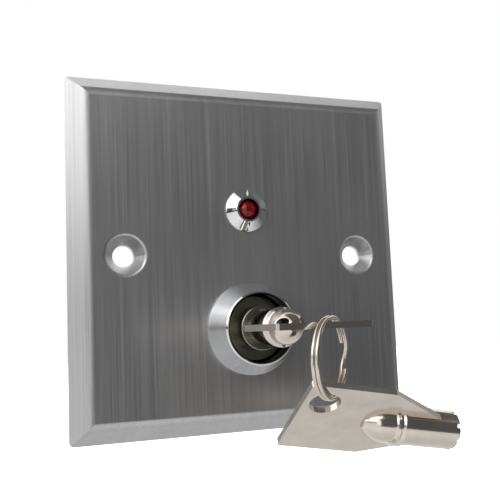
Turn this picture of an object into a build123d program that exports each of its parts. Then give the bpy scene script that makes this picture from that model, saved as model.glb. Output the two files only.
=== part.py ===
from build123d import *
import math
import os

# A flush wall plate that carries a tubular key lock with a rotary contact block and a red indicator
# lamp, with the key in the lock and its twin on a split ring. Millimetres. X runs to the right and Z up
# as a person faces the plate, and Y runs into the wall: the rim lies on the wall in the plane y = 0, and
# every depth in front of the wall is a negative y.

os.makedirs("parts", exist_ok=True)

# ---------------------------------------------------------------- driving dimensions
# wall plate
PLATE_SIDE = 86.0            # the common square wall-plate size
PLATE_DEPTH = 4.2            # how far the flat face stands off the wall
SHEET = 1.0                  # stainless sheet
BEVEL_RUN = 4.0              # from the rim to where the bevel would meet the face
BEND_RADIUS = 2.8            # outer radius of the bend between bevel and face
RIM_CORNER_RADIUS = 1.2
SCREW_SPACING = 60.3         # between the two fixing holes
SCREW_HOLE_RADIUS = 2.5
DIMPLE_RADIUS = 5.0
DIMPLE_DEPTH = PLATE_DEPTH - SHEET   # so that the sheet round the hole ends on the wall

FACE_Y = -PLATE_DEPTH
SHEET_BACK_Y = FACE_Y + SHEET

# lock, on its own axis below the plate's centre
LOCK_Z = -18.0
LOCK_BARREL_RADIUS = 7.4
LOCK_FLAT_HALF = 6.7         # the barrel's two flats, which stop it turning in the plate
MOUTH_Y = -11.6              # front of the conical bezel
NOSE_RADIUS = 5.2
NOSE_Y = -12.2
NOSE_LIP_REAR_Y = -11.5
FLANGE_RADIUS = 7.85
FLANGE_FRONT_Y, FLANGE_REAR_Y = -7.2, -5.6
CHAMBER_RADIUS = 5.6
CHAMBER_FRONT_Y = -6.0
HOUSING_REAR_Y = 14.0
PLUG_DISC_RADIUS = 5.55
PLUG_FRONT_Y, SHEAR_Y = -5.95, -0.45
POST_RADIUS, POST_Y = 2.75, -11.8
SPINDLE_RADIUS = 2.4
SPINDLE_FLAT = 1.7           # half width across the spindle's two flats
SPINDLE_REAR_Y = 18.4
PIN_STATIONS = 8             # bores in the plug; a quarter turn is two stations
PIN_CIRCLE = 3.4
PIN_RADIUS = 0.63
PIN_HOLE_RADIUS = 0.66
BIT_DEPTHS = (0.4, 1.0, 0.7, 1.3, 0.5, 0.9, 1.2)   # the key's cuts: one a pin, one station spare
SLEEVE_FRONT_Y, SLEEVE_REAR_Y = -0.40, 7.0
CAM_FRONT_Y, CAM_REAR_Y = 8.0, 12.0
CAM_RADIUS = 5.4
GROOVE_CIRCLE = CAM_RADIUS + 0.25   # the stop ball's centre
STOP_Y = 10.0
BALL_RADIUS = 0.9

# contact block behind the lock
SWITCH_RADIUS = 7.0
SWITCH_FRONT_Y, SWITCH_REAR_Y = 14.05, 22.0
SWITCH_CAVITY_RADIUS = 5.4
COVER_REAR_Y = 24.0
CARRIER_FRONT_Y, CARRIER_REAR_Y = 16.6, 18.4
CARRIER_RADIUS = 5.0
BRIDGE_THICKNESS = 0.5
CONTACT_CIRCLE = 3.7
TERMINAL_REAR_Y = 31.0

# indicator lamp above the plate's centre
LAMP_Z = 11.0
LAMP_BASE_RADIUS = 5.35
LAMP_FRONT_Y = -6.3
LAMP_MOUTH_RADIUS = 2.65
LAMP_BARREL_RADIUS = 3.9
LAMP_BARREL_REAR_Y = 6.0
LENS_RADIUS = 2.5
LENS_FLANGE_RADIUS = 2.9
LENS_TIP_Y = -6.75
LENS_FLANGE_FRONT_Y, LENS_FLANGE_REAR_Y = -0.5, 0.5
LEAD_HALF = 0.25
LEAD_OFFSET = 1.27
LEAD_REAR_Y = 17.0

# keys, in their own frame: X from the end of the bow to the barrel's tip, Y across the bow
BOW_WIDTH = 20.6
BOW_SHOULDER = 17.5          # where the bow starts to taper
BOW_TAPER_END = 30.7         # where the taper has come down to the barrel's width
BOW_THICKNESS = 1.3
BOW_HOLE = (4.3, 5.2)
BOW_HOLE_RADIUS = 3.1
NOSE_END = 14.5              # rounded rear end of the barrel
COLLAR_AT = 23.0
KEY_LENGTH = 35.0
KEY_RADIUS = 4.0
KEY_BORE_RADIUS = 2.8
KEY_BORE_DEPTH = 11.0
COLLAR_RADIUS = 4.4
KEY_PIN_RADIUS = 0.8
KEY_PIN_AT = 20.2
NIB_RADIUS = 4.5
NIB_HALF_WIDTH = 0.6
NIB_LENGTH = 0.9
RELIEF_AT, RELIEF_RADIUS = 16.0, 1.25   # round relief over the bow at the nose end of the slot

KEY_END_Y = -45.4            # end of the bow of the key in the lock
KEY_TIP_Y = KEY_END_Y + KEY_LENGTH
SPARE_ORIGIN = (-4.733, -38.689, -34.863)
SPARE_ALONG = (0.9851, -0.0512, -0.1643)
SPARE_NORMAL = (-0.1602, -0.6214, -0.7669)

# split ring
RING_CENTRE = (0.942, -44.263, -24.229)
RING_ALONG = (0.7432, 0.6691, 0.0)
RING_NORMAL = (0.6683, -0.7424, -0.0469)
RING_RADIUS = 7.75
RING_WIRE_RADIUS = 0.4
RING_PITCH = 0.84
RING_STEP = 40               # degrees over which the wire steps from one turn to the next


# ---------------------------------------------------------------- shared shapes
def write(node, shape):
    export_step(shape, f"parts/{node}.step")


def group(shapes):
    return Compound(children=list(shapes))


def turned(*outline, x=0.0, z=0.0):
    """Revolve an outline of (radius, y) points about a line along Y."""
    return Pos(x, 0, z) * revolve(make_face(Polyline(*outline, close=True)), Axis.Y, 360)


def rod(radius, front, rear, x=0.0, z=0.0):
    return turned((0, front), (radius, front), (radius, rear), (0, rear), x=x, z=z)


def tube(outer, inner, front, rear, x=0.0, z=0.0):
    return turned((inner, front), (outer, front), (outer, rear), (inner, rear), x=x, z=z)


def slab(width, height, front, rear, x=0.0, z=0.0):
    return Pos(x, (front + rear) / 2, z) * Box(width, rear - front, height)


def around(radius, degrees, z=0.0):
    """X and Z of a point on a circle about an axis along Y."""
    turn = math.radians(degrees)
    return radius * math.cos(turn), z + radius * math.sin(turn)


def station_angle(i):
    """Degrees round the lock from +X: the spare station comes last, and the nib is midway between two."""
    return 90 + 360 * (i + 0.5) / PIN_STATIONS


def stations():
    """X and Z of every bore in the plug."""
    return [around(PIN_CIRCLE, station_angle(i), LOCK_Z) for i in range(PIN_STATIONS)]


def pin_places():
    """X and Z of the pins, which leave the last station empty."""
    return stations()[:len(BIT_DEPTHS)]


def hex_nut(across_flats, bore, front, rear, z):
    half = across_flats / 2
    corner = half / math.cos(math.pi / 6)
    blank = extrude(RegularPolygon(half, 6, major_radius=False), rear - front)
    blank = Pos(0, front, z) * Rot(-90, 0, 0) * blank
    chamfer_depth = corner - half
    envelope = turned(
        (0, front), (half, front), (corner, front + chamfer_depth),
        (corner, rear - chamfer_depth), (half, rear), (0, rear), z=z,
    )
    return (blank & envelope) - rod(bore, front - 1, rear + 1, z=z)


def threaded_barrel(radius, front, rear, pitch, depth, z):
    """A barrel whose thread is drawn as rings of its pitch."""
    outline = [(0, front), (radius - depth, front)]
    for i in range(int((rear - front) / pitch)):
        start = front + i * pitch
        outline += [(radius - depth, start + 0.15 * pitch), (radius, start + 0.4 * pitch)]
        outline += [(radius, start + 0.6 * pitch), (radius - depth, start + 0.85 * pitch)]
    outline += [(radius - depth, rear), (0, rear)]
    return turned(*outline, z=z)


def coil(mean_radius, wire_radius, front, rear, turns, x=0.0, z=0.0):
    """A helical spring along Y between two depths."""
    height = rear - front - 2 * wire_radius
    path = Helix(pitch=height / turns, height=height, radius=mean_radius)
    section = Plane(origin=path @ 0, z_dir=path % 0) * Circle(wire_radius)
    return Pos(x, rear - wire_radius, z) * Rot(90, 0, 0) * sweep(section, path, is_frenet=True)


# ---------------------------------------------------------------- wall plate
def pressed_blank(half, front, back, bend_radius):
    """A square frustum whose four bevels turn into its flat face over a bend.

    half is its half width in the plane y = 0, which a back past that plane leaves unchanged."""
    slope = BEVEL_RUN / PLATE_DEPTH
    sections = []
    for y in (back, front):
        side = 2 * (half + slope * y)
        sections.append(Plane(origin=(0, y, 0), z_dir=(0, -1, 0)) * Rectangle(side, side))
    frustum = loft(sections, ruled=True)
    return fillet([edge for edge in frustum.edges() if edge.center().Y < front + 0.01], bend_radius)


def dimple(x):
    """The cone pressed in round a fixing hole, and the cut that opens it."""
    floor = FACE_Y + DIMPLE_DEPTH
    formed = turned(
        (0, SHEET_BACK_Y - 0.2), (DIMPLE_RADIUS + 0.6, SHEET_BACK_Y - 0.2),
        (SCREW_HOLE_RADIUS + 1.1, floor + SHEET), (0, floor + SHEET), x=x,
    )
    lead_in = FilletPolyline(
        (DIMPLE_RADIUS + 3, FACE_Y), (DIMPLE_RADIUS - 0.2, FACE_Y), (SCREW_HOLE_RADIUS, floor),
        (SCREW_HOLE_RADIUS, 1.0), radius=0.8,
    )
    closing = Polyline((SCREW_HOLE_RADIUS, 1.0), (0, 1.0), (0, FACE_Y - 2), (DIMPLE_RADIUS + 3, FACE_Y - 2),
                       (DIMPLE_RADIUS + 3, FACE_Y))
    cut = revolve(make_face(Wire([*lead_in.edges(), *closing.edges()])), Axis.Y, 360)
    return formed, Pos(x, 0, 0) * cut


def face_plate():
    inset = SHEET / math.sin(math.atan2(PLATE_DEPTH, BEVEL_RUN))
    outer = pressed_blank(PLATE_SIDE / 2, FACE_Y, 0, BEND_RADIUS)
    inner = pressed_blank(PLATE_SIDE / 2 - inset, SHEET_BACK_Y, 1, BEND_RADIUS - SHEET)
    blank = extrude(RectangleRounded(PLATE_SIDE, PLATE_SIDE, RIM_CORNER_RADIUS), 2 * PLATE_DEPTH)
    plate = (outer & (Rot(90, 0, 0) * blank)) - inner
    for x in (-SCREW_SPACING / 2, SCREW_SPACING / 2):
        formed, cut = dimple(x)
        plate = (plate + formed) - cut
    lock_hole = rod(LOCK_BARREL_RADIUS + 0.1, FACE_Y - 1, 1, z=LOCK_Z)
    flats = slab(2 * (LOCK_FLAT_HALF + 0.1), 4 * LOCK_BARREL_RADIUS, FACE_Y - 1, 1, z=LOCK_Z)
    plate -= lock_hole & flats
    plate -= rod(LAMP_BARREL_RADIUS + 0.1, FACE_Y - 1, 1, z=LAMP_Z)
    return plate


# ---------------------------------------------------------------- lock
def lock_bezel():
    """Conical trim ring: the housing's flange sits on its inner shoulder."""
    return turned(
        (LOCK_BARREL_RADIUS + 0.1, FACE_Y), (11.0, FACE_Y), (11.25, FACE_Y - 0.3), (11.2, FACE_Y - 1.2),
        (10.9, FACE_Y - 1.7), (8.75, MOUTH_Y + 0.25), (8.45, MOUTH_Y), (8.15, MOUTH_Y),
        (FLANGE_RADIUS + 0.05, MOUTH_Y + 0.25), (FLANGE_RADIUS + 0.05, FLANGE_REAR_Y),
        (LOCK_BARREL_RADIUS + 0.1, FLANGE_REAR_Y), z=LOCK_Z,
    )


def lock_housing():
    barrel = threaded_barrel(LOCK_BARREL_RADIUS, FLANGE_REAR_Y, HOUSING_REAR_Y, 1.0, 0.35, LOCK_Z)
    barrel &= slab(2 * LOCK_FLAT_HALF, 4 * LOCK_BARREL_RADIUS, FLANGE_REAR_Y, HOUSING_REAR_Y, z=LOCK_Z)
    head = turned(
        (0, NOSE_Y), (NOSE_RADIUS - 0.2, NOSE_Y), (NOSE_RADIUS, NOSE_Y + 0.2),
        (NOSE_RADIUS, FLANGE_FRONT_Y), (FLANGE_RADIUS - 0.3, FLANGE_FRONT_Y),
        (FLANGE_RADIUS, FLANGE_FRONT_Y + 0.3), (FLANGE_RADIUS, FLANGE_REAR_Y), (0, FLANGE_REAR_Y), z=LOCK_Z,
    )
    body = barrel + head
    body -= rod(KEY_RADIUS + 0.05, NOSE_Y - 1, CHAMBER_FRONT_Y + 1, z=LOCK_Z)
    body -= rod(NIB_RADIUS + 0.1, NOSE_LIP_REAR_Y, CHAMBER_FRONT_Y + 1, z=LOCK_Z)
    body -= rod(CHAMBER_RADIUS, CHAMBER_FRONT_Y, HOUSING_REAR_Y + 1, z=LOCK_Z)
    # the key goes in and comes out at each end of its turn
    gate = 2 * (NIB_HALF_WIDTH + 0.15)
    reach = NIB_RADIUS + 0.1
    body -= slab(gate, reach, NOSE_Y - 1, NOSE_LIP_REAR_Y, z=LOCK_Z + reach / 2)
    body -= slab(reach, gate, NOSE_Y - 1, NOSE_LIP_REAR_Y, x=reach / 2, z=LOCK_Z)
    # the stop ball's bore, and the hole for the pin that holds the sleeve
    body -= Pos(0, STOP_Y, LOCK_Z - LOCK_BARREL_RADIUS) * Cylinder(BALL_RADIUS + 0.06, 6)
    body -= Pos(0, 5.0, LOCK_Z + LOCK_BARREL_RADIUS) * Cylinder(0.6, 6)
    for x, z in screw_places():
        body -= rod(0.7, HOUSING_REAR_Y - 3, HOUSING_REAR_Y + 1, x=x, z=z)
    return body


def screw_places():
    return [around(6.4, angle, LOCK_Z) for angle in (60, 240)]


def lock_plug():
    """The turning part: front disc with the tumbler holes, centre post and rear spindle."""
    plug = rod(PLUG_DISC_RADIUS, PLUG_FRONT_Y, SHEAR_Y, z=LOCK_Z)
    plug += turned(
        (0, POST_Y), (POST_RADIUS - 0.3, POST_Y), (POST_RADIUS, POST_Y + 0.3),
        (POST_RADIUS, PLUG_FRONT_Y), (0, PLUG_FRONT_Y), z=LOCK_Z,
    )
    plug += rod(SPINDLE_RADIUS, SHEAR_Y, SPINDLE_REAR_Y, z=LOCK_Z)
    for side in (-1, 1):
        plug -= slab(3, 6, SLEEVE_REAR_Y + 0.5, SPINDLE_REAR_Y + 1, x=side * (SPINDLE_FLAT + 1.5), z=LOCK_Z)
    for x, z in stations():
        plug -= rod(PIN_HOLE_RADIUS, PLUG_FRONT_Y - 0.01, SHEAR_Y + 0.01, x=x, z=z)
    return plug


def pin_sleeve():
    sleeve = tube(CHAMBER_RADIUS, SPINDLE_RADIUS + 0.05, SLEEVE_FRONT_Y, SLEEVE_REAR_Y, z=LOCK_Z)
    for x, z in pin_places():
        sleeve -= rod(PIN_HOLE_RADIUS, SLEEVE_FRONT_Y - 1, SLEEVE_REAR_Y - 0.8, x=x, z=z)
    return sleeve - Pos(0, 5.0, LOCK_Z + 6.4) * Cylinder(0.6, 3)


def front_pins():
    """Each pin runs from the bottom of its cut in the key back to the shear line."""
    pins = []
    for (x, z), cut in zip(pin_places(), BIT_DEPTHS):
        front = KEY_TIP_Y - cut + 0.02
        pins.append(turned((0, front), (0.35, front), (PIN_RADIUS, front + 0.3), (PIN_RADIUS, SHEAR_Y),
                           (0, SHEAR_Y), x=x, z=z))
    return group(pins)


def driver_pins():
    return group(rod(PIN_RADIUS, SLEEVE_FRONT_Y + 0.02, 1.8, x=x, z=z) for x, z in pin_places())


def pin_springs():
    return group(coil(0.4, 0.18, 1.85, SLEEVE_REAR_Y - 0.85, 6, x=x, z=z) for x, z in pin_places())


def stop_cam():
    """Turns with the spindle: a quarter-turn groove runs on the stop ball and ends the turn both ways."""
    cam = rod(CAM_RADIUS, CAM_FRONT_Y, CAM_REAR_Y, z=LOCK_Z)
    bore = rod(SPINDLE_RADIUS + 0.02, CAM_FRONT_Y - 1, CAM_REAR_Y + 1, z=LOCK_Z)
    bore &= slab(2 * SPINDLE_FLAT + 0.04, 8, CAM_FRONT_Y - 1, CAM_REAR_Y + 1, z=LOCK_Z)
    cam -= bore
    groove = revolve(Pos(GROOVE_CIRCLE, STOP_Y) * Circle(BALL_RADIUS + 0.1), Axis.Y, 90)
    cam -= Pos(0, 0, LOCK_Z) * groove
    for angle in (270, 0):
        x, z = around(GROOVE_CIRCLE, angle, LOCK_Z)
        cam -= Pos(x, STOP_Y, z) * Sphere(BALL_RADIUS + 0.1)
    return cam


def spindle_clip():
    """Spring clip in front of the contact carrier, which keeps the cam on the spindle."""
    ring = tube(3.6, SPINDLE_RADIUS + 0.02, CAM_REAR_Y + 0.1, CAM_REAR_Y + 0.7, z=LOCK_Z)
    return ring - slab(2.4, 4, CAM_REAR_Y, CAM_REAR_Y + 1, z=LOCK_Z + 3.2)


def stop_ball():
    return Pos(0, STOP_Y, LOCK_Z - GROOVE_CIRCLE) * Sphere(BALL_RADIUS)


def stop_screw():
    """Slotted grub screw that keeps the ball in its bore."""
    top = LOCK_Z - GROOVE_CIRCLE - BALL_RADIUS - 0.02
    bottom = LOCK_Z - LOCK_BARREL_RADIUS + 0.05
    screw = Pos(0, STOP_Y, (top + bottom) / 2) * Cylinder(BALL_RADIUS + 0.04, top - bottom)
    return screw - slab(3, 0.3, STOP_Y - 0.15, STOP_Y + 0.15, z=bottom + 0.15)


# ---------------------------------------------------------------- contact block
def switch_body():
    body = rod(SWITCH_RADIUS, SWITCH_FRONT_Y, SWITCH_REAR_Y, z=LOCK_Z)
    body -= rod(SWITCH_CAVITY_RADIUS, SWITCH_FRONT_Y + 1.2, SWITCH_REAR_Y + 1, z=LOCK_Z)
    body -= rod(SPINDLE_RADIUS + 0.1, SWITCH_FRONT_Y - 1, SWITCH_FRONT_Y + 2, z=LOCK_Z)
    for x, z in screw_places():
        body -= rod(0.75, SWITCH_FRONT_Y - 1, SWITCH_REAR_Y + 1, x=x, z=z)
    return body


def contact_places():
    return [around(CONTACT_CIRCLE, angle, LOCK_Z) for angle in (0, 90, 180, 270)]


def switch_cover():
    cover = rod(SWITCH_RADIUS, SWITCH_REAR_Y, COVER_REAR_Y, z=LOCK_Z)
    for x, z in screw_places():
        cover -= rod(0.75, SWITCH_REAR_Y - 1, COVER_REAR_Y + 1, x=x, z=z)
    for x, z in contact_places():
        cover -= rod(0.6, SWITCH_REAR_Y - 1, COVER_REAR_Y + 1, x=x, z=z)
    return cover


def switch_terminals():
    """Four contacts, each with a shank through the cover and a solder lug behind it."""
    lugs = []
    bridge_rear = CARRIER_REAR_Y + BRIDGE_THICKNESS
    for x, z in contact_places():
        lug = rod(0.9, bridge_rear + 0.02, SWITCH_REAR_Y, x=x, z=z)
        lug += rod(0.6, SWITCH_REAR_Y, COVER_REAR_Y + 0.2, x=x, z=z)
        blade = slab(2.2, 0.6, COVER_REAR_Y, TERMINAL_REAR_Y, x=x, z=z)
        blade -= Pos(x, TERMINAL_REAR_Y - 1.6, z) * Cylinder(0.6, 2)
        lugs.append(lug + blade)
    return group(lugs)


def switch_screws():
    screws = []
    for x, z in screw_places():
        screw = rod(0.68, HOUSING_REAR_Y - 2.8, COVER_REAR_Y, x=x, z=z)
        head = rod(1.1, COVER_REAR_Y, COVER_REAR_Y + 0.9, x=x, z=z)
        head -= slab(0.35, 2.6, COVER_REAR_Y + 0.5, COVER_REAR_Y + 1, x=x, z=z)
        screws.append(screw + head)
    return group(screws)


def contact_carrier():
    carrier = rod(CARRIER_RADIUS, CARRIER_FRONT_Y, CARRIER_REAR_Y, z=LOCK_Z)
    bore = rod(SPINDLE_RADIUS + 0.02, CARRIER_FRONT_Y - 1, CARRIER_REAR_Y + 1, z=LOCK_Z)
    return carrier - (bore & slab(2 * SPINDLE_FLAT + 0.04, 8, CARRIER_FRONT_Y - 1, CARRIER_REAR_Y + 1, z=LOCK_Z))


def contact_bridge():
    """Phosphor-bronze strip that joins the two contacts in line with it."""
    rear = CARRIER_REAR_Y + BRIDGE_THICKNESS
    strip = slab(2.0, 2 * CONTACT_CIRCLE + 1.4, CARRIER_REAR_Y, rear, z=LOCK_Z)
    return strip & rod(CARRIER_RADIUS - 0.1, CARRIER_REAR_Y, rear, z=LOCK_Z)


# ---------------------------------------------------------------- lamp
def lamp_bezel():
    bezel = turned(
        (LAMP_MOUTH_RADIUS, LAMP_FRONT_Y), (3.1, LAMP_FRONT_Y), (3.3, LAMP_FRONT_Y + 0.15),
        (5.05, FACE_Y - 0.6), (LAMP_BASE_RADIUS, FACE_Y - 0.35), (LAMP_BASE_RADIUS, FACE_Y),
        (3.0, FACE_Y), (3.0, LENS_FLANGE_FRONT_Y), (LAMP_MOUTH_RADIUS, LENS_FLANGE_FRONT_Y), z=LAMP_Z,
    )
    barrel = threaded_barrel(LAMP_BARREL_RADIUS, FACE_Y, LAMP_BARREL_REAR_Y, 0.75, 0.25, LAMP_Z)
    bezel += barrel
    bezel -= rod(LAMP_MOUTH_RADIUS, LAMP_FRONT_Y - 1, LENS_FLANGE_FRONT_Y + 1, z=LAMP_Z)
    bezel -= rod(LENS_FLANGE_RADIUS + 0.1, LENS_FLANGE_FRONT_Y, LAMP_BARREL_REAR_Y + 1, z=LAMP_Z)
    # four driver slots across the cone
    for angle in (0, 90, 180, 270):
        slot = Rot(0, -angle, 0) * slab(2.0, 0.6, LAMP_FRONT_Y - 1, FACE_Y - 0.5, x=4.25)
        bezel -= Pos(0, 0, LAMP_Z) * slot
    return bezel


def lamp_leads():
    """The lamp's two pins; the longer one carries the cup that holds the chip."""
    leads = []
    for side, top in ((-1, -3.4), (1, -3.7)):
        x = side * LEAD_OFFSET
        pin = slab(2 * LEAD_HALF, 2 * LEAD_HALF, -1.5, LEAD_REAR_Y, x=x, z=LAMP_Z)
        pad = slab(1.6 if side < 0 else 0.9, 2 * LEAD_HALF, top, -1.5, x=x - side * (0.35 if side < 0 else 0.1),
                   z=LAMP_Z)
        leads.append(pin + pad)
    return group(leads)


def lamp_lens(leads):
    dome = Pos(0, LENS_TIP_Y + LENS_RADIUS, LAMP_Z) * Sphere(LENS_RADIUS)
    lens = dome + rod(LENS_RADIUS, LENS_TIP_Y + LENS_RADIUS, LENS_FLANGE_REAR_Y, z=LAMP_Z)
    lens += rod(LENS_FLANGE_RADIUS, LENS_FLANGE_FRONT_Y + 0.02, LENS_FLANGE_REAR_Y, z=LAMP_Z)
    return lens - leads


def lamp_holder():
    """Black plastic plug that presses the lamp's flange against the bezel's inner step."""
    plug = rod(LENS_FLANGE_RADIUS + 0.05, LENS_FLANGE_REAR_Y + 0.02, LAMP_BARREL_REAR_Y - 0.5, z=LAMP_Z)
    plug += rod(3.6, LAMP_BARREL_REAR_Y + 0.02, LAMP_BARREL_REAR_Y + 1.2, z=LAMP_Z)
    plug += rod(2.9, LAMP_BARREL_REAR_Y - 0.6, LAMP_BARREL_REAR_Y + 0.1, z=LAMP_Z)
    for side in (-1, 1):
        plug -= slab(0.7, 0.7, -1, 10, x=side * LEAD_OFFSET, z=LAMP_Z)
    return plug


# ---------------------------------------------------------------- keys, in their own frame
def bow_blank(half_thickness):
    half = BOW_WIDTH / 2
    outline = Polyline(
        (0, -half), (BOW_SHOULDER, -half), (BOW_TAPER_END, -KEY_RADIUS + 0.1),
        (BOW_TAPER_END, KEY_RADIUS - 0.1), (BOW_SHOULDER, half), (0, half), close=True,
    )
    face = make_face(outline)
    corners = [v for v in face.vertices() if v.X < BOW_SHOULDER + 1]
    face = fillet(corners, 0.7)
    return Pos(0, 0, -half_thickness) * extrude(face, 2 * half_thickness)


def key_bow():
    bow = bow_blank(BOW_THICKNESS / 2)
    bow -= Pos(BOW_HOLE[0], BOW_HOLE[1], 0) * Cylinder(BOW_HOLE_RADIUS, 4)
    # nothing of the sheet reaches into the barrel's bore
    bow -= Pos(KEY_LENGTH - KEY_BORE_DEPTH, 0, 0) * Rot(0, 90, 0) * Cylinder(KEY_BORE_RADIUS + 0.1, 30,
                                                                               align=(Align.CENTER, Align.CENTER, Align.MIN))
    return bow - Pos(KEY_PIN_AT, 0, 0) * Cylinder(KEY_PIN_RADIUS, 4)


def key_barrel():
    """Turned barrel: rounded nose, two collar rings, and the cut tip that meets the tumblers."""
    arc_start = (COLLAR_AT - 2.6, KEY_RADIUS - 0.1)
    nose = ThreePointArc((NOSE_END, 1.3), (NOSE_END + 2.0, 3.05), arc_start)
    rest = Polyline(
        arc_start, (COLLAR_AT - 2.3, COLLAR_RADIUS - 0.2), (COLLAR_AT - 1.8, COLLAR_RADIUS),
        (COLLAR_AT - 1.4, COLLAR_RADIUS - 0.35), (COLLAR_AT - 1.1, COLLAR_RADIUS - 0.35),
        (COLLAR_AT - 0.7, COLLAR_RADIUS), (COLLAR_AT - 0.3, COLLAR_RADIUS), (COLLAR_AT, KEY_RADIUS),
        (KEY_LENGTH - 0.3, KEY_RADIUS), (KEY_LENGTH, KEY_RADIUS - 0.25), (KEY_LENGTH, KEY_BORE_RADIUS),
        (KEY_LENGTH - KEY_BORE_DEPTH, KEY_BORE_RADIUS), (KEY_LENGTH - KEY_BORE_DEPTH - 1.2, 0), (NOSE_END, 0),
        (NOSE_END, 1.3),
    )
    barrel = revolve(make_face(Wire([*nose.edges(), *rest.edges()])), Axis.X, 360)
    # the slot that takes the bow
    slot_end = BOW_TAPER_END + 0.1
    barrel -= Pos(slot_end / 2, 0, 0) * Box(slot_end, 4 * KEY_RADIUS, BOW_THICKNESS + 0.04)
    barrel -= Pos(RELIEF_AT, 0, -BOW_THICKNESS / 2) * Rot(90, 0, 0) * Cylinder(RELIEF_RADIUS, 4 * KEY_RADIUS)
    # the nib that passes the lock's gate, on the side that points up in the lock
    nib = Pos(KEY_LENGTH - NIB_LENGTH / 2 - 0.1, 0, -NIB_RADIUS + 0.5) * Box(NIB_LENGTH, 2 * NIB_HALF_WIDTH, 1.0)
    barrel += nib
    for i, cut in enumerate(BIT_DEPTHS):
        angle = math.radians(station_angle(i))
        y, z = PIN_CIRCLE * math.cos(angle), -PIN_CIRCLE * math.sin(angle)
        bit = Rot(0, 90, 0) * Cylinder(PIN_HOLE_RADIUS + 0.05, cut, align=(Align.CENTER, Align.CENTER, Align.MAX))
        barrel -= Pos(KEY_LENGTH, y, z) * bit
    return barrel - Pos(KEY_PIN_AT, 0, 0) * Cylinder(KEY_PIN_RADIUS, 12)


def key_pin():
    """Cross pin, dressed flush with the barrel, that holds the bow in its slot."""
    pin = Pos(KEY_PIN_AT, 0, 0) * Cylinder(KEY_PIN_RADIUS, 2 * KEY_RADIUS)
    return pin & (Pos(KEY_PIN_AT, 0, 0) * Rot(0, 90, 0) * Cylinder(KEY_RADIUS - 0.15, 4))


def split_ring():
    """Two flat turns of wire: each ends where the wire steps across to the other."""
    half, sweep_angle = RING_STEP / 2, 360 - RING_STEP
    low = Pos(0, 0, -RING_PITCH / 2) * CenterArc((0, 0, 0), RING_RADIUS, half, sweep_angle)
    high = Pos(0, 0, RING_PITCH / 2) * CenterArc((0, 0, 0), RING_RADIUS, half, sweep_angle)
    step = Spline(low @ 1, (RING_RADIUS, 0, 0), high @ 0, tangents=(low % 1, high % 0))
    path = Wire([*low.edges(), *step.edges(), *high.edges()])
    section = Plane(origin=path @ 0, z_dir=path % 0) * Circle(RING_WIRE_RADIUS)
    return Plane(RING_CENTRE, x_dir=RING_ALONG, z_dir=RING_NORMAL).location * sweep(section, path)


# ---------------------------------------------------------------- write every piece
write("face_plate", face_plate())

write("lock_bezel", lock_bezel())
write("lock_housing", lock_housing())
washer = tube(10.4, LOCK_BARREL_RADIUS + 0.2, SHEET_BACK_Y, SHEET_BACK_Y + 0.8, z=LOCK_Z)
for index in range(12):
    washer -= Pos(0, 0, LOCK_Z) * Rot(0, 30 * index, 0) * slab(0.8, 1.3, SHEET_BACK_Y - 1, SHEET_BACK_Y + 2, z=8.2)
write("lock_washer", washer)
write("lock_nut", hex_nut(19.0, LOCK_BARREL_RADIUS + 0.03, SHEET_BACK_Y + 0.8, SHEET_BACK_Y + 4.3, LOCK_Z))
write("lock_plug", lock_plug())
write("front_pins", front_pins())
write("driver_pins", driver_pins())
write("pin_springs", pin_springs())
write("pin_sleeve", pin_sleeve())
write("sleeve_pin", Pos(0, 5.0, LOCK_Z + 6.05) * Cylinder(0.58, 2.2))
write("stop_cam", stop_cam())
write("spindle_clip", spindle_clip())
write("stop_ball", stop_ball())
write("stop_screw", stop_screw())

write("switch_body", switch_body())
write("switch_cover", switch_cover())
write("switch_terminals", switch_terminals())
write("switch_screws", switch_screws())
write("contact_carrier", contact_carrier())
write("contact_bridge", contact_bridge())
write("contact_spring", coil(3.2, 0.3, SWITCH_FRONT_Y + 1.25, CARRIER_FRONT_Y, 1.5, z=LOCK_Z))

write("lamp_bezel", lamp_bezel())
leads = lamp_leads()
write("lamp_leads", leads)
write("lamp_lens", lamp_lens(leads))
write("lamp_holder", lamp_holder())
write("lamp_washer", tube(5.6, LAMP_BARREL_RADIUS + 0.15, SHEET_BACK_Y, SHEET_BACK_Y + 0.5, z=LAMP_Z))
write("lamp_nut", hex_nut(10.0, LAMP_BARREL_RADIUS + 0.03, SHEET_BACK_Y + 0.5, SHEET_BACK_Y + 2.8, LAMP_Z))

in_lock = Plane(origin=(0, KEY_END_Y, LOCK_Z), x_dir=(0, 1, 0), z_dir=(0, 0, -1)).location
lying = Plane(origin=SPARE_ORIGIN, x_dir=SPARE_ALONG, z_dir=SPARE_NORMAL).location
for prefix, place in (("key", in_lock), ("spare_key", lying)):
    write(f"{prefix}_barrel", place * key_barrel())
    write(f"{prefix}_bow", place * key_bow())
    write(f"{prefix}_pin", place * key_pin())
write("split_ring", split_ring())
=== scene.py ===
"""Looks of a selector key switch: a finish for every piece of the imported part, and a studio round it."""

import logging
import math
from collections.abc import Mapping
from dataclasses import dataclass, replace
from enum import Enum
from typing import ClassVar

import bpy
from mathutils import Matrix, Vector


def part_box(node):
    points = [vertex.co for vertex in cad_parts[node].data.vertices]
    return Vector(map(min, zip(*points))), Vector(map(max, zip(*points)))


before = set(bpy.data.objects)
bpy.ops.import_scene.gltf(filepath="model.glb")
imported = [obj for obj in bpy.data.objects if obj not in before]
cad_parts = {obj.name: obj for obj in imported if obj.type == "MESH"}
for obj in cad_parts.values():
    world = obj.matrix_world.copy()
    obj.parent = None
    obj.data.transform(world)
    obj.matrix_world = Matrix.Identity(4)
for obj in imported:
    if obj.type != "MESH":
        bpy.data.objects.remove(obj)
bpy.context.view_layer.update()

MM = 0.001
CYCLES_PER_METRE = 1000.0      # of a pattern one millimetre long
WHITE = (1.0, 1.0, 1.0, 1.0)
PLASTIC_IOR = 1.53
NOISE_ROUGHNESS = 0.6
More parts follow.
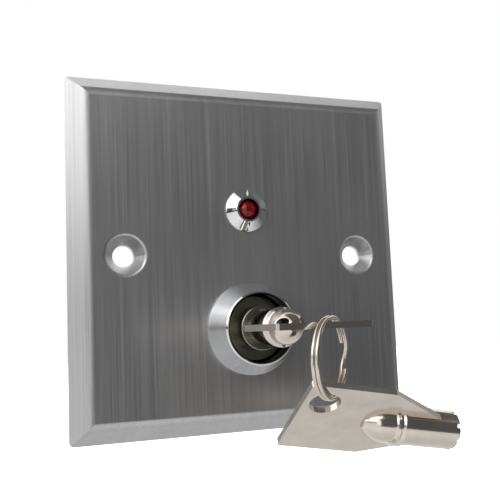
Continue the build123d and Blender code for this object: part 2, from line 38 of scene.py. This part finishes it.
# Most of a noise texture's values lie in this span, which is stretched over the range wanted.
NOISE_SPAN = {"From Min": 0.3, "From Max": 0.7}

LOG = logging.getLogger("key_switch")

Colour = tuple[float, float, float, float]
Triple = tuple[float, float, float]
Stops = tuple[tuple[float, float], ...]


def linear(hex_code: str) -> Colour:
    """Turn an sRGB hex code to a linear colour.

    Args:
        hex_code: A hash and six hexadecimal digits.

    Returns:
        Red, green, blue and alpha for a shader socket.
    """
    digits = hex_code.lstrip("#")
    channels = [int(digits[i : i + 2], 16) / 255 for i in (0, 2, 4)]
    red, green, blue = (c / 12.92 if c <= 0.04045 else ((c + 0.055) / 1.055) ** 2.4 for c in channels)
    return red, green, blue, 1.0


def add_node(
    tree: bpy.types.NodeTree,
    kind: str,
    inputs: Mapping[str | int, object] | None = None,
    **settings: object,
) -> bpy.types.Node:
    """Add one node with its settings and links.

    Args:
        tree: The node tree to add it to.
        kind: The node's type, without "ShaderNode".
        inputs: Its sockets by name or number, each with a constant or the output that feeds it.
        settings: The node's own attributes.

    Returns:
        The new node.
    """
    node = tree.nodes.new("ShaderNode" + kind)
    for name, value in settings.items():
        setattr(node, name, value)
    for key, value in (inputs or {}).items():
        if isinstance(value, bpy.types.NodeSocket):
            tree.links.new(value, node.inputs[key])
        else:
            node.inputs[key].default_value = value
    return node


def new_material(name: str) -> bpy.types.Material:
    """Start a material with an empty node tree.

    Args:
        name: What the real material is, and how its surface was made.

    Returns:
        The new material.
    """
    material = bpy.data.materials.new(name)
    material.use_nodes = True
    material.node_tree.nodes.clear()
    return material


@dataclass(frozen=True)
class Pattern:
    """An uneven pattern: the real length of one cycle along X, Y and Z, and how many finer layers it has."""

    cycle_mm: Triple
    layers: float = 2.0

    def wire(self, tree: bpy.types.NodeTree) -> bpy.types.NodeSocket:
        """Lay the pattern over a surface, fixed to the piece.

        Args:
            tree: The material's node tree.

        Returns:
            The pattern's height, from 0 to 1.
        """
        place = add_node(tree, "TexCoord").outputs["Object"]
        scale = tuple(CYCLES_PER_METRE / length for length in self.cycle_mm)
        stretched = add_node(tree, "Mapping", {"Vector": place, "Scale": scale}).outputs[0]
        return add_node(tree, "TexNoise", {
            "Vector": stretched, "Scale": 1.0, "Detail": self.layers, "Roughness": NOISE_ROUGHNESS,
        }).outputs["Fac"]


@dataclass(frozen=True)
class BrushedSheet:
    """Stainless sheet brushed up and down on a belt.

    The long grain spreads each reflection sideways and leaves it sharp up and down, so that the face reads
    as one soft dark field with fine upright lines. Broad bands and handling smudges break it up.
    """

    name: str
    light: str
    dark: str
    roughness: float
    # Belt grit leaves lines about 0.05 mm wide; these are drawn at 0.22 mm so that they show.
    lines: Pattern = Pattern((0.22, 0.22, 45.0), 3.0)
    bands: Pattern = Pattern((1.6, 1.6, 90.0))
    smudges: Pattern = Pattern((22.2, 22.2, 33.3), 1.0)
    line_share: float = 0.55
    band_share: float = 0.45
    line_gloss: tuple[float, float] = (-0.04, 0.05)
    smudge_gloss: tuple[float, float] = (-0.02, 0.03)
    line_depth: float = 0.0015 * MM
    line_strength: float = 0.35
    grain_pull: float = 0.75

    def build(self) -> bpy.types.Material:
        """Make the brushed material.

        Returns:
            The finished material.
        """
        material = new_material(self.name)
        tree = material.node_tree
        lines, bands, smudges = (pattern.wire(tree) for pattern in (self.lines, self.bands, self.smudges))
        line_shade = add_node(tree, "MapRange", {
            **NOISE_SPAN, "Value": lines, "To Min": 0.0, "To Max": self.line_share,
        }).outputs[0]
        shade = add_node(
            tree, "Math", {0: bands, 1: self.band_share, 2: line_shade}, operation="MULTIPLY_ADD"
        ).outputs[0]
        colour = add_node(
            tree, "Mix", {0: shade, 6: linear(self.dark), 7: linear(self.light)}, data_type="RGBA"
        ).outputs[2]
        low, high = self.line_gloss
        line_gloss = add_node(tree, "MapRange", {
            **NOISE_SPAN, "Value": lines, "To Min": low, "To Max": high,
        }).outputs[0]
        low, high = self.smudge_gloss
        smudge_gloss = add_node(tree, "MapRange", {
            **NOISE_SPAN, "Value": smudges, "To Min": self.roughness + low, "To Max": self.roughness + high,
        }).outputs[0]
        surface = add_node(tree, "BsdfPrincipled", {
            "Base Color": colour,
            "Metallic": 1.0,
            "Roughness": add_node(tree, "Math", {0: line_gloss, 1: smudge_gloss}, operation="ADD").outputs[0],
            "Anisotropic": self.grain_pull,
            "Tangent": add_node(tree, "CombineXYZ", {"X": 1.0}).outputs[0],
            "Normal": add_node(tree, "Bump", {
                "Height": lines, "Distance": self.line_depth, "Strength": self.line_strength,
            }).outputs[0],
        })
        add_node(tree, "OutputMaterial", {"Surface": surface.outputs[0]})
        return material


@dataclass(frozen=True)
class PaintedBoreShade:
    """A dark throat of painted shade inside a plated ring, standing in for the shade that falls in its
    recess.
    """

    centre: Triple
    radius: float
    # The painted shade's colour, and how far past the radius it fades out.
    dark: str = "#3c3c3a"
    fade: float = 0.2 * MM

    def paint_shade(self, tree: bpy.types.NodeTree, colour: bpy.types.NodeSocket) -> bpy.types.NodeSocket:
        """Paint shade into a colour inside the bore, which runs along Y.

        Args:
            tree: The material's node tree.
            colour: The colour outside the bore.

        Returns:
            The colour, with painted shade within the bore's radius of its axis.
        """
        place = add_node(tree, "TexCoord").outputs["Object"]
        away = add_node(tree, "VectorMath", {0: place, 1: self.centre}, operation="SUBTRACT").outputs[0]
        across = add_node(tree, "VectorMath", {0: away, 1: (1.0, 0.0, 1.0)}, operation="MULTIPLY").outputs[0]
        reach = add_node(tree, "VectorMath", {0: across}, operation="LENGTH").outputs["Value"]
        outside = add_node(tree, "MapRange", {
            "Value": reach, "From Min": self.radius, "From Max": self.radius + self.fade,
        }).outputs[0]
        return add_node(
            tree, "Mix", {0: outside, 6: linear(self.dark), 7: colour}, data_type="RGBA"
        ).outputs[2]


@dataclass(frozen=True)
class UnpaintedMetal:
    """A plated, turned or ground metal with clouding and fine handling marks.

    Clouds of slightly duller metal and short scratches keep its mirror from looking like glass.
    """

    name: str
    light: str
    dark: str
    roughness: float
    wear: float
    clouds: Pattern = Pattern((4.545, 4.545, 4.545), 3.0)
    # Real hairlines are under 0.1 mm wide; these are drawn at 0.5 mm so that they show.
    scratches: Pattern = Pattern((0.5, 3.333, 1.4286))
    cloud_gloss: tuple[float, float] = (-0.3, 0.7)
    scratch_gloss: float = 0.3
    scratch_depth: float = 0.0006 * MM
    scratch_strength: float = 0.25
    # Painted shade for the throat of a bore, if the piece has one.
    bore: PaintedBoreShade | None = None

    def build(self) -> bpy.types.Material:
        """Make the metal.

        Returns:
            The finished material.
        """
        material = new_material(self.name)
        tree = material.node_tree
        clouds, scratches = self.clouds.wire(tree), self.scratches.wire(tree)
        colour = add_node(
            tree, "Mix", {0: clouds, 6: linear(self.dark), 7: linear(self.light)}, data_type="RGBA"
        ).outputs[2]
        # Painted shade inside the bore.
        if self.bore:
            colour = self.bore.paint_shade(tree, colour)
        clean, worn = (self.roughness + share * self.wear for share in self.cloud_gloss)
        cloud_gloss = add_node(tree, "MapRange", {
            **NOISE_SPAN, "Value": clouds, "To Min": clean, "To Max": worn,
        }).outputs[0]
        scratch_gloss = add_node(tree, "MapRange", {
            **NOISE_SPAN, "Value": scratches, "To Min": 0.0, "To Max": self.scratch_gloss * self.wear,
        }).outputs[0]
        roughness = add_node(tree, "Math", {0: cloud_gloss, 1: scratch_gloss}, operation="ADD").outputs[0]
        surface = add_node(tree, "BsdfPrincipled", {
            "Base Color": colour,
            "Metallic": 1.0,
            "Roughness": roughness,
            "Normal": add_node(tree, "Bump", {
                "Height": scratches, "Distance": self.scratch_depth, "Strength": self.scratch_strength,
            }).outputs[0],
        })
        add_node(tree, "OutputMaterial", {"Surface": surface.outputs[0]})
        return material


@dataclass(frozen=True)
class MouldedPlastic:
    """Plastic moulded in a spark-eroded tool: a faint even skin that softens its highlights."""

    name: str
    light: str
    dark: str
    roughness: float
    # The tool's pits are about 0.1 mm wide; they are drawn at 0.38 mm so that they show.
    skin: Pattern = Pattern((0.3846, 0.3846, 0.3846))
    skin_gloss: tuple[float, float] = (-0.05, 0.08)
    skin_depth: float = 0.004 * MM
    skin_strength: float = 0.3

    def build(self) -> bpy.types.Material:
        """Make the plastic.

        Returns:
            The finished material.
        """
        material = new_material(self.name)
        tree = material.node_tree
        skin = self.skin.wire(tree)
        smooth, rough = (self.roughness + change for change in self.skin_gloss)
        surface = add_node(tree, "BsdfPrincipled", {
            "Base Color": add_node(
                tree, "Mix", {0: skin, 6: linear(self.dark), 7: linear(self.light)}, data_type="RGBA"
            ).outputs[2],
            "Roughness": add_node(tree, "MapRange", {
                **NOISE_SPAN, "Value": skin, "To Min": smooth, "To Max": rough,
            }).outputs[0],
            "IOR": PLASTIC_IOR,
            "Normal": add_node(tree, "Bump", {
                "Height": skin, "Distance": self.skin_depth, "Strength": self.skin_strength,
            }).outputs[0],
        })
        add_node(tree, "OutputMaterial", {"Surface": surface.outputs[0]})
        return material


@dataclass(frozen=True)
class DyedResin:
    """Clear resin with red dye, cast: deep red inside, with a hard highlight on its skin."""

    name: str
    light: str
    dark: str
    roughness: float
    clouds: Pattern = Pattern((2.0, 2.0, 2.0))
    cloud_gloss: float = 0.04
    clearness: float = 0.55

    def build(self) -> bpy.types.Material:
        """Make the resin.

        Returns:
            The finished material.
        """
        material = new_material(self.name)
        tree = material.node_tree
        clouds = self.clouds.wire(tree)
        surface = add_node(tree, "BsdfPrincipled", {
            "Base Color": add_node(
                tree, "Mix", {0: clouds, 6: linear(self.dark), 7: linear(self.light)}, data_type="RGBA"
            ).outputs[2],
            "Roughness": add_node(tree, "MapRange", {
                **NOISE_SPAN, "Value": clouds,
                "To Min": self.roughness, "To Max": self.roughness + self.cloud_gloss,
            }).outputs[0],
            "IOR": PLASTIC_IOR,
            "Transmission Weight": self.clearness,
        })
        add_node(tree, "OutputMaterial", {"Surface": surface.outputs[0]})
        return material


class Finish(Enum):
    """Every finish on the switch, by what it is and how it was made."""

    # Soft grey field with upright lines.
    STAINLESS = BrushedSheet("Stainless steel sheet, belt brushed", "#cfcfd0", "#a9a8a8", 0.34)
    # Near mirror, cold white.
    CHROME = UnpaintedMetal("Zinc casting, bright chrome plated", "#e6e7e8", "#d4d5d6", 0.07, 0.05)
    # Greyer than the bezel: painted shade of the recess it sits in. Duller than the bezel too.
    SHADED_CHROME = UnpaintedMetal("Zinc casting, chrome plated, painted recess shade", "#98988e", "#78786f", 0.2, 0.08)
    # Warm, softer mirror, clouded by handling.
    NICKEL = UnpaintedMetal("Steel, nickel plated", "#e0d9d0", "#c6bcb2", 0.13, 0.07)
    # Black with a low oily shine.
    BLACKED = UnpaintedMetal("Steel, oil blacked", "#3a3a3a", "#262626", 0.35, 0.1)
    # Yellow with a satin shine from the lathe.
    BRASS = UnpaintedMetal("Brass bar, fine turned", "#d9bd7a", "#c4a35c", 0.26, 0.1)
    # Plain grey steel with a clean shine.
    PIN_STEEL = UnpaintedMetal("Steel pin, ground", "#c2c2c4", "#a9a9ab", 0.2, 0.1)
    # Slightly blue, dull shine.
    ZINC = UnpaintedMetal("Spring steel, bright zinc plated", "#b9bcc0", "#a3a7ab", 0.3, 0.12)
    # Dull white metal.
    TIN = UnpaintedMetal("Copper alloy strip, dull tinned", "#c9c7c2", "#b2afa9", 0.38, 0.12)
    # Satin black.
    NYLON = MouldedPlastic("Nylon, injection moulded black", "#1c1c1d", "#131314", 0.46)
    # Dark glowing red.
    RED_RESIN = DyedResin("Epoxy resin, dyed and cast", "#b50814", "#80030c", 0.06)


class PaintShop:
    """Makes each finish once and hands it out."""

    def __init__(self) -> None:
        """Start with nothing made."""
        self.made: dict[Finish, bpy.types.Material] = {}

    def get(self, finish: Finish) -> bpy.types.Material:
        """Give a finish's material, made when first asked for.

        Args:
            finish: Which finish.

        Returns:
            The material, shared by every piece in that finish.
        """
        if finish not in self.made:
            self.made[finish] = finish.value.build()
        return self.made[finish]


def put_on(node: str, material: bpy.types.Material) -> None:
    """Give one node its only material.

    Args:
        node: The node's name.
        material: What it is dressed in.
    """
    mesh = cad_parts[node].data
    mesh.materials.clear()
    mesh.materials.append(material)
    LOG.info("%s: %s", node, material.name)


@dataclass(frozen=True)
class SubAssembly:
    """A group of the part's nodes that are dressed together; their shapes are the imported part's own."""

    FINISHES: ClassVar[dict[str, Finish]] = {}

    def dress(self, shop: PaintShop) -> None:
        """Put each node's finish on it.

        Args:
            shop: Where the finishes are made.
        """
        for node, finish in self.FINISHES.items():
            put_on(node, shop.get(finish))


@dataclass(frozen=True)
class Plate(SubAssembly):
    """The pressed wall plate."""

    FINISHES = {"face_plate": Finish.STAINLESS}


@dataclass(frozen=True)
class Lock(SubAssembly):
    """The tubular lock with its tumblers, stop and fixings."""

    FINISHES = {
        # The housing sits in the bezel's recess; its greyer colour is painted shade.
        "lock_housing": Finish.SHADED_CHROME,
        "lock_washer": Finish.ZINC,
        "lock_nut": Finish.BRASS,
        "lock_plug": Finish.BLACKED,
        "front_pins": Finish.PIN_STEEL,
        "driver_pins": Finish.PIN_STEEL,
        "pin_springs": Finish.ZINC,
        "pin_sleeve": Finish.BRASS,
        "sleeve_pin": Finish.PIN_STEEL,
        "stop_cam": Finish.BRASS,
        "stop_ball": Finish.PIN_STEEL,
        "stop_screw": Finish.ZINC,
        "spindle_clip": Finish.ZINC,
    }
    mouth_radius: float = 8.15 * MM

    def dress(self, shop: PaintShop) -> None:
        """Dress the lock; its bezel is bright outside, with painted shade darkening its throat round the key.

        Args:
            shop: Where the finishes are made.
        """
        low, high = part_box("lock_bezel")
        # Painted shade in the bezel's throat; the material is named for its bright chrome outside.
        painted_throat_shade = PaintedBoreShade(centre=tuple((low + high) / 2), radius=self.mouth_radius)
        bright = Finish.CHROME.value
        put_on("lock_bezel", replace(bright, name=bright.name + " outside", bore=painted_throat_shade).build())
        super().dress(shop)


@dataclass(frozen=True)
class ContactBlock(SubAssembly):
    """The contact block behind the lock."""

    FINISHES = {
        "switch_body": Finish.NYLON,
        "switch_cover": Finish.NYLON,
        "switch_terminals": Finish.TIN,
        "switch_screws": Finish.ZINC,
        "contact_carrier": Finish.NYLON,
        "contact_bridge": Finish.TIN,
        "contact_spring": Finish.ZINC,
    }


@dataclass(frozen=True)
class Lamp(SubAssembly):
    """The indicator lamp in its bezel."""

    FINISHES = {
        "lamp_bezel": Finish.CHROME,
        "lamp_lens": Finish.RED_RESIN,
        "lamp_leads": Finish.TIN,
        "lamp_holder": Finish.NYLON,
        "lamp_washer": Finish.ZINC,
        "lamp_nut": Finish.BRASS,
    }


@dataclass(frozen=True)
class Keys(SubAssembly):
    """The key in the lock, its twin and their ring."""

    FINISHES = {
        prefix + piece: Finish.NICKEL
        for prefix in ("", "spare_")
        for piece in ("key_barrel", "key_bow", "key_pin")
    } | {"split_ring": Finish.NICKEL}


def add_flat(name: str, width: float, height: float, material: bpy.types.Material) -> bpy.types.Object:
    """Make a flat rectangle of the studio, centred on the origin and facing up.

    Args:
        name: The object's name.
        width: Its size along X, in metres.
        height: Its size along Y, in metres.
        material: Its material.

    Returns:
        The new object, marked as stage.
    """
    mesh = bpy.data.meshes.new(name)
    x, y = width / 2, height / 2
    mesh.from_pydata([(-x, -y, 0), (x, -y, 0), (x, y, 0), (-x, y, 0)], [], [(0, 1, 2, 3)])
    mesh.materials.append(material)
    flat = bpy.data.objects.new(name, mesh)
    bpy.context.collection.objects.link(flat)
    LOG.info("%s", name)
    return flat


@dataclass(frozen=True)
class Card:
    """A flat studio card that the metal reflects and the camera doesn't see."""

    name: str
    centre_mm: Triple
    aim_mm: Triple
    size_mm: tuple[float, float]
    shade: float

    def build(self) -> None:
        """Place the card, facing its aim."""
        material = new_material(self.name)
        light = add_node(material.node_tree, "Emission", {"Color": WHITE, "Strength": self.shade})
        add_node(material.node_tree, "OutputMaterial", {"Surface": light.outputs[0]})
        width, height = (side * MM for side in self.size_mm)
        card = add_flat(self.name, width, height, material)
        centre, aim = Vector(self.centre_mm) * MM, Vector(self.aim_mm) * MM
        turn = (aim - centre).to_track_quat("Z", "Y").to_matrix().to_4x4()
        card.matrix_world = Matrix.Translation(centre) @ turn
        card.visible_camera = False
        card.visible_shadow = False


@dataclass(frozen=True)
class Floor:
    """A white paper sweep, well below the switch."""

    name: str = "floor"
    side: float = 12.0
    height: float = -0.25
    light: str = "#fcfcfc"
    dark: str = "#f6f6f6"
    roughness: float = 0.9
    grain: Pattern = Pattern((33.3, 33.3, 33.3))
    glow: float = 0.75

    def build(self) -> None:
        """Lay the floor; it glows a little, so that it is as white as the background."""
        material = new_material("Paper sweep, matt white")
        tree = material.node_tree
        grain = self.grain.wire(tree)
        tint = add_node(
            tree, "Mix", {0: grain, 6: linear(self.dark), 7: linear(self.light)}, data_type="RGBA"
        ).outputs[2]
        surface = add_node(tree, "BsdfPrincipled", {
            "Base Color": tint, "Roughness": self.roughness,
            "Emission Color": tint, "Emission Strength": self.glow,
        })
        add_node(tree, "OutputMaterial", {"Surface": surface.outputs[0]})
        floor = add_flat(self.name, self.side, self.side, material)
        floor.location.z = self.height
        floor.visible_glossy = False
        floor.visible_diffuse = False


@dataclass(frozen=True)
class Sky:
    """White behind the switch; round it a bright upper half, a grey horizon and a grey ground.

    Both lists give a shade by direction, from -1 to 1: down to up, and left to right.
    """

    by_height: Stops = (
        (-1.0, 0.42), (-0.9, 0.44), (-0.6, 0.54), (-0.1, 0.50), (0.0, 0.46), (0.13, 0.50), (0.2, 0.8),
        (0.28, 1.0), (0.55, 1.0), (1.0, 0.62),
    )
    by_side: Stops = ((-1.0, 1.0), (-0.3, 1.0), (0.5, 0.9), (0.85, 0.38), (0.97, 0.14), (1.0, 0.14))
    strength: float = 1.85

    def build(self) -> None:
        """Make the world."""
        world = bpy.data.worlds.new("studio")
        bpy.context.scene.world = world
        world.use_nodes = True
        tree = world.node_tree
        tree.nodes.clear()
        direction = add_node(tree, "TexCoord").outputs["Generated"]
        parts = add_node(tree, "SeparateXYZ", {0: direction})
        height = self.shade(tree, parts.outputs["Z"], self.by_height)
        side = self.shade(tree, parts.outputs["X"], self.by_side)
        both = add_node(tree, "Math", {0: height, 1: side}, operation="MULTIPLY").outputs[0]
        light = add_node(tree, "Math", {0: both, 1: self.strength}, operation="MULTIPLY").outputs[0]
        lit = add_node(tree, "Background", {"Color": WHITE, "Strength": light}).outputs[0]
        seen = add_node(tree, "Background", {"Color": WHITE}).outputs[0]
        looked_at = add_node(tree, "LightPath").outputs["Is Camera Ray"]
        mix = add_node(tree, "MixShader", {0: looked_at, 1: lit, 2: seen}).outputs[0]
        add_node(tree, "OutputWorld", {"Surface": mix})
        LOG.info("sky")

    @staticmethod
    def shade(tree: bpy.types.NodeTree, number: bpy.types.NodeSocket, stops: Stops) -> bpy.types.NodeSocket:
        """Look a shade up along a list of stops.

        Args:
            tree: The world's node tree.
            number: The direction's height or side, from -1 to 1.
            stops: Pairs of a number and the shade there.

        Returns:
            The shade.
        """
        place = add_node(tree, "MapRange", {"Value": number, "From Min": -1.0}).outputs[0]
        ramp = add_node(tree, "ValToRGB", {"Fac": place})
        elements = ramp.color_ramp.elements
        while len(elements) < len(stops):
            elements.new(0.5)
        for element, (at, shade) in zip(elements, stops):
            element.position = (at + 1) / 2
            element.color = (shade, shade, shade, 1.0)
        return ramp.outputs["Color"]


@dataclass(frozen=True)
class Camera:
    """The camera, left of the plate and a little below its centre, looking up and to the right."""

    azimuth: float = 20.83
    elevation: float = 6.14
    roll: float = -2.32
    place_mm: Triple = (-62.92, -171.2, -18.06)
    lens_mm: float = 52.58
    sensor_mm: float = 36.0
    near: float = 0.01

    def build(self) -> None:
        """Make the camera and use it for the scene."""
        azimuth, elevation, roll = (math.radians(a) for a in (self.azimuth, self.elevation, self.roll))
        flat = math.cos(elevation)
        ahead = Vector((math.sin(azimuth) * flat, math.cos(azimuth) * flat, math.sin(elevation)))
        level = Vector((math.cos(azimuth), -math.sin(azimuth), 0.0))
        right = math.cos(roll) * level + math.sin(roll) * level.cross(ahead)
        up = right.cross(ahead)
        data = bpy.data.cameras.new("camera")
        data.lens = self.lens_mm
        data.sensor_width = self.sensor_mm
        data.clip_start = self.near
        camera = bpy.data.objects.new("camera", data)
        bpy.context.collection.objects.link(camera)
        axes = Matrix((right, up, -ahead)).transposed().to_4x4()
        camera.matrix_world = Matrix.Translation(Vector(self.place_mm) * MM) @ axes
        bpy.context.scene.camera = camera
        LOG.info("camera")


class Studio:
    """The sky, the floor, the cards and the camera."""

    CARDS: ClassVar[tuple[Card, ...]] = (
        # Dark cards: what the face, the lamp's top, the right side and the bezel's left reflect.
        Card("front card", (190, -600, 60), (0, 0, 0), (1150, 620), 0.098),
        Card("overhead card", (150, -330, 400), (0, -330, 0), (900, 580), 0.14),
        Card("side overhead card", (560, -60, 400), (560, -60, 0), (440, 480), 0.1),
        Card("skyline card", (-446, -350, 12), (0, 0, -18), (330, 50), 0.02),
        # Softboxes: the highlights on the keys, the lens and the bezels' upper left.
        Card("softbox", (-250, -520, 40), (0, 0, 0), (120, 300), 1.5),
        Card("upper softbox", (-370, -290, 270), (0, 0, 0), (220, 130), 3.4),
    )

    def build(self) -> None:
        """Set everything up round the switch."""
        for piece in (Sky(), Floor(), *self.CARDS, Camera()):
            piece.build()
        bpy.context.scene.view_settings.view_transform = "Standard"


def main() -> None:
    """Dress the switch and build the studio."""
    logging.basicConfig(level=logging.INFO, format="%(name)s %(message)s")
    shop = PaintShop()
    for sub_assembly in (Plate(), Lock(), ContactBlock(), Lamp(), Keys()):
        sub_assembly.dress(shop)
    Studio().build()


if __name__ == "__main__":
    main()
